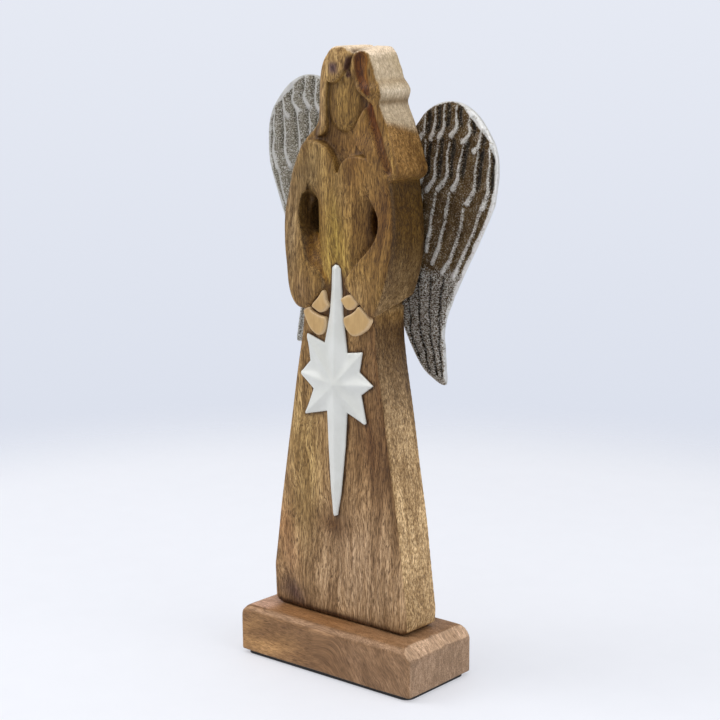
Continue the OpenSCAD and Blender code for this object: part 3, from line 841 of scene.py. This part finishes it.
def block_field(g, low, high):
    """Block with rounded edges, a bevel all round its top and a chiselled right-hand end."""
    side_x, side_y = np.abs(g.x) - high[0], np.abs(g.y) - high[1]
    top, bottom = g.z - high[2], low[2] - g.z
    field = round_edge(side_x, side_y, 2.2)
    right_end = ramp(g.x, 40, 60)
    chisel = (3.6 + 0.7 * ripple(g.x, g.y, g.z, 13, 31)) * right_end
    end_bevel = (side_x + top + 3.6 + chisel) / math.sqrt(2)
    front_bevel = (side_y + top + 3.8) / math.sqrt(2)
    field = round_edge(field, top, 1.0)
    field = soft_max(field, front_bevel, 1.6)
    field = soft_max(field, end_bevel, 4.0 - 3.0 * right_end)
    field = round_edge(field, bottom, 0.8)
    field = field + 0.1 * ripple(g.x, g.y, g.z, 40, 32)
    return np.maximum(field, np.maximum(side_x, side_y))


def block_tint(x, y, z, normal):
    """Reddish timber, yellower at the left, paler at the right end and on the chiselled bevel, with a
    painted highlight on the front bevel.
    """
    tint = np.broadcast_to([0.26, 0.146, 0.07], (len(x), 3))
    drift = 8 * ripple(x, y, z, 40, 33)
    # Painted highlight on the front bevel, which faces up towards the lights.
    lit_bevel = ramp(normal[:, 2], 0.35, 0.6) * ramp(-normal[:, 2], -0.9, -0.75) * (normal[:, 1] < -0.3)
    flat = ramp(normal[:, 2], 0.9, 0.98)
    chipped = ramp(normal[:, 0], 0.35, 0.55) * ramp(normal[:, 2], 0.35, 0.55) * (x > 50)
    yellow = bell(x + 58 + drift, 30) * bell(z - 14, 13)
    for mask, rgb in ((0.9 * yellow, (0.52, 0.3, 0.12)),
                      (0.6 * ripple(x / 3, y, z, 16, 34), (0.19, 0.098, 0.042)),
                      (0.7 * lit_bevel, (0.42, 0.26, 0.15)),
                      (0.8 * flat, (0.3, 0.15, 0.06)),
                      (0.9 * flat * ramp(-x, 44, 56), (0.5, 0.31, 0.215)),
                      (0.55 * ramp(x + drift, 10, 60), (0.32, 0.205, 0.12)),
                      (0.8 * ramp(normal[:, 0], 0.8, 0.98), (0.33, 0.225, 0.145)),
                      (0.9 * chipped, (0.56, 0.39, 0.26))):
        tint = blended(tint, mask, rgb)
    return tint


def block_grain(x, y, z):
    """Coordinates that follow the block's fibres: level at the left, rising at the right."""
    drift = 8 * ripple(x, y, z, 40, 33)
    slant = math.radians(52) * ramp(x + drift, -10, 30)
    lean = 0.8 * ripple(x, y, z, 22, 35)
    along = (x * np.cos(slant) - z * np.sin(slant)) * FIBRE_STRETCH
    across = x * np.sin(slant) + z * np.cos(slant) + lean
    return np.stack([along, y + 0.5 * lean, across], 1) * MM


def make_base(material):
    low, high = np.array(mm_box("base"))
    g = Grid(*(steps_of(*ends) for ends in zip(low, high, (1.2, 1.2, 0.8), (2.4, 2.4, 2))))
    points, quads = surface(block_field(g, low, high), g)
    x, y, z = points.T
    piece_of("wooden_block", points, quads, material, "base",
             {"tint": block_tint(x, y, z, normals(points, quads)), "grain": block_grain(x, y, z)})


# ---- Materials ----

class Nodes:
    """Small helper for building a node tree."""

    def __init__(self, tree):
        self.tree = tree

    def add(self, kind, output, inputs=(), **settings):
        """Adds a node; an input is a number, a vector, a colour or another node's output."""
        node = self.tree.nodes.new(kind)
        for key, value in settings.items():
            setattr(node, key, value)
        for key, value in dict(inputs).items():
            socket = node.inputs[key]
            if isinstance(value, bpy.types.NodeSocket):
                self.tree.links.new(value, socket)
            else:
                socket.default_value = (*value, 1.0) if socket.type == "RGBA" else value
        return node.outputs[output]


class Shader(Nodes):
    """A principled material; noise and patterns use the object's own metres."""

    def __init__(self, name):
        self.material = bpy.data.materials.new(name)
        self.material.use_nodes = True
        super().__init__(self.material.node_tree)
        self.bsdf = self.tree.nodes["Principled BSDF"]
        self.place = self.add("ShaderNodeTexCoord", "Object")

    def set(self, **values):
        for key, value in values.items():
            self.bsdf.inputs[key.replace("_", " ")].default_value = value

    def attribute(self, name, output="Fac"):
        return self.add("ShaderNodeAttribute", output, attribute_name=name)

    def mapped(self, vector, scale):
        return self.add("ShaderNodeMapping", "Vector", {"Vector": vector, "Scale": scale})

    def noise(self, source, detail=4.0, rough=0.55, size=1.0, distortion=0.0):
        """Noise over a vector, or over the place scaled by one or three numbers."""
        if isinstance(source, int):
            source = (source,) * 3
        vector = self.mapped(self.place, source) if isinstance(source, tuple) else source
        return self.add("ShaderNodeTexNoise", "Fac", {
            "Vector": vector, "Scale": size, "Detail": detail, "Roughness": rough,
            "Distortion": distortion})

    def curve(self, value, low, high, to_low=0.0, to_high=1.0):
        """Smooth map of a value's range."""
        return self.add("ShaderNodeMapRange", "Result", {
            "Value": value, "From Min": low, "From Max": high, "To Min": to_low,
            "To Max": to_high}, interpolation_type="SMOOTHSTEP")

    def math(self, operation, a, b):
        return self.add("ShaderNodeMath", "Value", {0: a, 1: b}, operation=operation)

    def plus(self, a, b):
        return self.math("ADD", a, b)

    def minus(self, a, b):
        return self.math("SUBTRACT", a, b)

    def times(self, a, b):
        return self.math("MULTIPLY", a, b)

    def mix(self, factor, a, b, mode="MIX"):
        return self.add("ShaderNodeMix", 2, {0: factor, 6: a, 7: b}, data_type="RGBA",
                        blend_type=mode)

    def shade(self, a, b):
        """Product of two colours."""
        return self.mix(1, a, b, "MULTIPLY")

    def bump(self, height, strength, distance, **below):
        return self.add("ShaderNodeBump", "Normal", {
            "Height": height, "Strength": strength, "Distance": distance, **below})

    def finish(self, colour, roughness=None, normal=None, metallic=None):
        for name, source in (("Base Color", colour), ("Roughness", roughness),
                             ("Normal", normal), ("Metallic", metallic)):
            if source is not None:
                self.tree.links.new(source, self.bsdf.inputs[name])
        return self.material


def carved_wood(name, pore_stretch=(1, 1, 0.8), contrast=1.0, fine=1.0):
    """Open-pored hardwood: fibres and dark pore dashes follow the grain coordinates.

    Faces at the plank's sides show the fibres end-on, as an even stipple."""
    s = Shader(name)
    grain = s.attribute("grain", "Vector")
    calm = s.attribute("calm")
    side = s.attribute("side")
    tint = s.attribute("tint", "Color")

    def or_on_side(along, end_on):
        forward = s.times(along, s.minus(1.0, side))
        return s.plus(forward, s.times(end_on, side))

    def shaded(colour, factor, dark, light):
        return s.shade(colour, s.mix(s.curve(factor, 0.36, 0.64), dark, light))

    bold = s.times(s.minus(1.0, s.times(calm, 0.5)), contrast)
    fibre = or_on_side(s.noise(grain, size=1300 * fine, detail=3, rough=0.75),
                       s.noise((950, 950, 380), detail=3, rough=0.8))
    strand = or_on_side(s.noise(s.mapped(grain, (1, 1, 0.5)), size=430 * fine, detail=3, rough=0.6),
                        s.noise((430, 430, 330), detail=3, rough=0.7))
    band = s.noise(s.mapped(grain, (1, 1, 0.6)), size=130 * fine, detail=4, rough=0.6, distortion=0.5)
    pores = s.noise(s.mapped(grain, pore_stretch), size=1900, detail=2, rough=0.5)
    light = s.shade(tint, (1.42, 1.4, 1.38))
    dark = s.shade(tint, (0.6, 0.54, 0.46))
    texture = s.mix(s.curve(fibre, 0.38, 0.62), dark, light)
    texture = shaded(texture, strand, (0.78, 0.72, 0.64), (1.2, 1.2, 1.22))
    texture = shaded(texture, band, (0.74, 0.68, 0.6), (1.24, 1.24, 1.26))
    colour = s.mix(bold, tint, texture)
    pore = s.times(s.curve(pores, 0.56, 0.65, 0.0, 0.85), bold)
    colour = s.mix(pore, colour, s.shade(tint, (0.24, 0.17, 0.11)))
    height = s.minus(s.times(fibre, 0.6), s.times(pore, 0.7))
    normal = s.bump(height, 0.5, 0.0003)
    rough = s.curve(fibre, 0.3, 0.7, 0.58, 0.44)
    s.set(Specular_IOR_Level=0.24)
    return s.finish(colour, rough, normal)


def cast_aluminium():
    """Sand-cast metal: brown patina in the panels, black grit and painted shadow in the grooves, worn
    bright quills, paler back, painted light on the left wing.
    """
    s = Shader("cast_aluminium")
    polish, lower, pale_back_and_painted_light = (s.attribute(name) for name in ("polish", "lower", "pale_back_and_painted_light"))
    soot_and_shadow = s.times(s.attribute("soot_and_shadow"), s.minus(1.0, s.times(pale_back_and_painted_light, 0.6)))
    grit = s.noise(1100, detail=3, rough=0.8)
    ragged = s.curve(s.noise(420, detail=3, rough=0.7), 0.34, 0.52, 0.55, 1.0)
    polish = s.times(polish, ragged)
    speck = s.curve(grit, 0.45, 0.6)
    patch = s.noise(160, detail=4, rough=0.6)
    hatch = s.noise((600, 600, 1500), detail=3, rough=0.65)
    coarse = s.plus(s.plus(polish, soot_and_shadow), s.plus(lower, s.times(pale_back_and_painted_light, 0.5)))
    front = s.minus(1.0, s.times(s.attribute("back"), 0.6))
    sparkle = s.times(s.curve(grit, 0.52, 0.64, 0.0, 0.55), front)
    speck = s.plus(s.times(speck, s.curve(coarse, 0.0, 1.0, 0.06, 0.42)), sparkle)
    worn = s.plus(s.times(polish, 0.78), speck)
    worn = s.plus(worn, s.times(s.minus(patch, 0.5), 0.5))
    worn = s.plus(worn, s.times(lower, s.curve(hatch, 0.43, 0.6, 0.05, 0.8)))
    worn = s.minus(worn, s.times(soot_and_shadow, 0.42))
    worn = s.plus(worn, s.times(pale_back_and_painted_light, 0.18))
    bright = s.curve(worn, 0.2, 1.0)
    patina = s.mix(s.curve(patch, 0.35, 0.7), (0.088, 0.052, 0.018), (0.17, 0.115, 0.055))
    # Paler grey on the wing's back, and on the left wing's front as painted light.
    patina = s.mix(pale_back_and_painted_light, patina, (0.235, 0.225, 0.195))
    mottled = s.mix(s.curve(grit, 0.38, 0.58), (0.55, 0.5, 0.42), (1.42, 1.32, 1.12))
    patina = s.mix(front, patina, s.shade(patina, mottled))
    sooty_shadowed = s.times(soot_and_shadow, s.curve(grit, 0.48, 0.62, 1.0, 0.4))
    patina = s.mix(sooty_shadowed, patina, (0.015, 0.014, 0.013))
    raised = s.mix(s.curve(worn, 0.95, 1.35), (0.72, 0.69, 0.62), (0.9, 0.89, 0.86))
    colour = s.mix(bright, patina, s.mix(s.times(pale_back_and_painted_light, 0.8), raised, (0.56, 0.55, 0.52)))
    rough = s.curve(bright, 0.0, 1.0, 0.48, 0.36)
    metal = s.curve(bright, 0.0, 1.0, 0.85, 1.0)
    normal = s.bump(grit, 1.0, 0.0014)
    normal = s.bump(s.times(hatch, lower), 1.0, 0.0015, Normal=normal)
    s.set(Specular_IOR_Level=0.5)
    return s.finish(colour, rough, normal, metal)


def enamel():
    """Glossy off-white enamel over a cast star, slightly uneven, with painted shade on its lower flank.
    """
    s = Shader("white_enamel")
    soft = s.noise(60, detail=3)
    colour = s.mix(s.curve(soft, 0.35, 0.65), (0.655, 0.655, 0.6), (0.71, 0.71, 0.66))
    # Painted shade darkens the lower flank.
    colour = s.mix(s.attribute("flank_shade"), colour, (0.1, 0.07, 0.045))
    wave = s.noise(260, detail=2)
    speck = s.noise(2600, detail=2)
    normal = s.bump(wave, 0.12, 0.0006)
    normal = s.bump(speck, 0.06, 0.0002, Normal=normal)
    rough = s.curve(soft, 0.3, 0.7, 0.3, 0.4)
    s.set(Specular_IOR_Level=0.5, Coat_Weight=0.35, Coat_Roughness=0.12)
    return s.finish(colour, rough, normal)


def hand_paint():
    """Flat tan paint brushed over the carved hands."""
    s = Shader("tan_paint")
    brush = s.noise((300, 300, 90), detail=4, rough=0.6)
    speck = s.noise(1400, detail=2)
    colour = s.mix(s.curve(brush, 0.3, 0.7), (0.47, 0.285, 0.105), (0.56, 0.355, 0.14))
    colour = s.mix(s.times(s.attribute("rim"), 0.6), colour, (0.72, 0.54, 0.33))
    rough = s.curve(speck, 0.3, 0.7, 0.5, 0.62)
    return s.finish(colour, rough, s.bump(brush, 0.25, 0.0005))


def foam_pad():
    """Black foam rubber with a fine cell texture."""
    s = Shader("foam_rubber")
    cells = s.noise(1800, detail=3, rough=0.7)
    colour = s.mix(s.curve(cells, 0.3, 0.7), (0.012, 0.012, 0.013), (0.035, 0.034, 0.033))
    return s.finish(colour, s.curve(cells, 0.3, 0.7, 0.75, 0.95), s.bump(cells, 0.6, 0.0005))


def zinc():
    """Zinc-plated screw steel with faint turning marks."""
    s = Shader("zinc_steel")
    marks = s.noise((900, 2500, 900), detail=3)
    colour = s.mix(s.curve(marks, 0.3, 0.7), (0.48, 0.47, 0.44), (0.64, 0.63, 0.6))
    s.set(Metallic=1.0)
    return s.finish(colour, s.curve(marks, 0.3, 0.7, 0.28, 0.42), s.bump(marks, 0.2, 0.0002))


# ---- Studio ----

CAMERA_TARGET = (0.0046, 0.0005, 0.2035)
CAMERA_PLACE = {"azimuth": 39.64, "elevation": 11.49, "distance": 1.14}
LIGHT_TARGET = (0, 0, 0.2)


def add_facing(name, data, target, azimuth, elevation, distance):
    """Adds a camera or a light that looks at the target from a bearing; azimuth 0 is the front."""
    a, e = math.radians(azimuth), math.radians(elevation)
    away = Vector((math.sin(a) * math.cos(e), -math.cos(a) * math.cos(e), math.sin(e)))
    made = add_object(name, data)
    made.location = Vector(target) + away * distance
    made.rotation_mode = "QUATERNION"
    made.rotation_quaternion = away.to_track_quat("Z", "Y")
    return made


def make_camera():
    data = bpy.data.cameras.new("camera")
    data.lens, data.sensor_width = 90.0, 36.0
    data.clip_start, data.clip_end = 0.05, 20.0
    bpy.context.scene.camera = add_facing("camera", data, CAMERA_TARGET, **CAMERA_PLACE)


def make_light(name, azimuth, elevation, distance, size, watts):
    data = bpy.data.lights.new(name, "AREA")
    data.shape, data.size, data.energy = "DISK", size, watts
    add_facing(name, data, LIGHT_TARGET, azimuth, elevation, distance)


FLOOR_FADE = (0.5, 0.8)


def make_floor():
    """Pale round table top whose edge melts into the backdrop."""
    mesh = bpy.data.meshes.new("studio_floor")
    around = np.linspace(0, 2 * math.pi, 96, endpoint=False)
    r = FLOOR_FADE[1] + 0.02
    mesh.from_pydata([(r * math.cos(t), r * math.sin(t), 0) for t in around], [], [tuple(range(96))])
    s = Shader("studio_paper")
    fine = s.noise(40, detail=2)
    s.set(Roughness=0.7, Specular_IOR_Level=0.2)
    s.set(Emission_Color=(0.9, 0.92, 0.98, 1), Emission_Strength=0.42)
    s.finish(s.mix(fine, (0.45, 0.455, 0.475), (0.47, 0.475, 0.495)))
    reach = s.add("ShaderNodeVectorMath", "Value", {0: s.place}, operation="LENGTH")
    clear = s.add("ShaderNodeBsdfTransparent", "BSDF")
    faded = s.add("ShaderNodeMixShader", "Shader", {
        "Fac": s.curve(reach, *FLOOR_FADE), 1: s.bsdf.outputs["BSDF"], 2: clear})
    s.tree.links.new(faded, s.tree.nodes["Material Output"].inputs["Surface"])
    mesh.materials.append(s.material)
    add_object("studio_floor", mesh)


def make_sky():
    """Even pale backdrop all round, dimmer overhead so that the lights do the modelling."""
    world = bpy.data.worlds.new("studio")
    world.use_nodes = True
    sky = Nodes(world.node_tree)
    bearing = sky.add("ShaderNodeTexCoord", "Generated")
    up = sky.add("ShaderNodeSeparateXYZ", "Z", {"Vector": bearing})
    height = sky.add("ShaderNodeMapRange", "Result", {"Value": up, "From Min": -0.3, "From Max": 0.4})
    colour = sky.add("ShaderNodeValToRGB", "Color", {"Fac": height})
    sky.tree.links.new(colour, sky.tree.nodes["Background"].inputs["Color"])
    stops = colour.node.color_ramp.elements
    stops[0].color = (0.69, 0.73, 0.83, 1)
    stops[1].color = (0.44, 0.45, 0.48, 1)
    stops.new(0.43).color = (0.79, 0.82, 0.9, 1)
    stops.new(0.55).color = (0.74, 0.76, 0.82, 1)
    bpy.context.scene.world = world


def make_studio():
    make_sky()
    bpy.context.scene.view_settings.view_transform = "Standard"
    make_floor()
    make_light("left_softbox", -52, 38, 1.5, 1.1, 9.6)
    make_light("top_softbox", 25, 84, 1.4, 1.4, 9.5)
    make_light("right_softbox", 92, 32, 1.6, 1.1, 8.4)


def finish_hardware(steel, foam):
    """Gives the CAD screws, pins and pad their materials."""
    for name in nodes:
        if "screw" in name or "pin" in name or name == "base_pad":
            slots = nodes[name].data.materials
            slots.clear()
            slots.append(foam if name == "base_pad" else steel)


make_camera()
make_studio()

figure_wood = carved_wood("mango_wood_upright")
block_wood = carved_wood("mango_wood_flat", pore_stretch=(0.8, 1, 1), contrast=0.6, fine=1.35)
make_body(figure_wood)
paint = hand_paint()
make_hand("painted_hand_right", PALM_R, THUMB_R, paint)
make_hand("painted_hand_left", PALM_L, THUMB_L, paint)
make_star(enamel())
make_wings(cast_aluminium())
make_base(block_wood)

finish_hardware(zinc(), foam_pad())
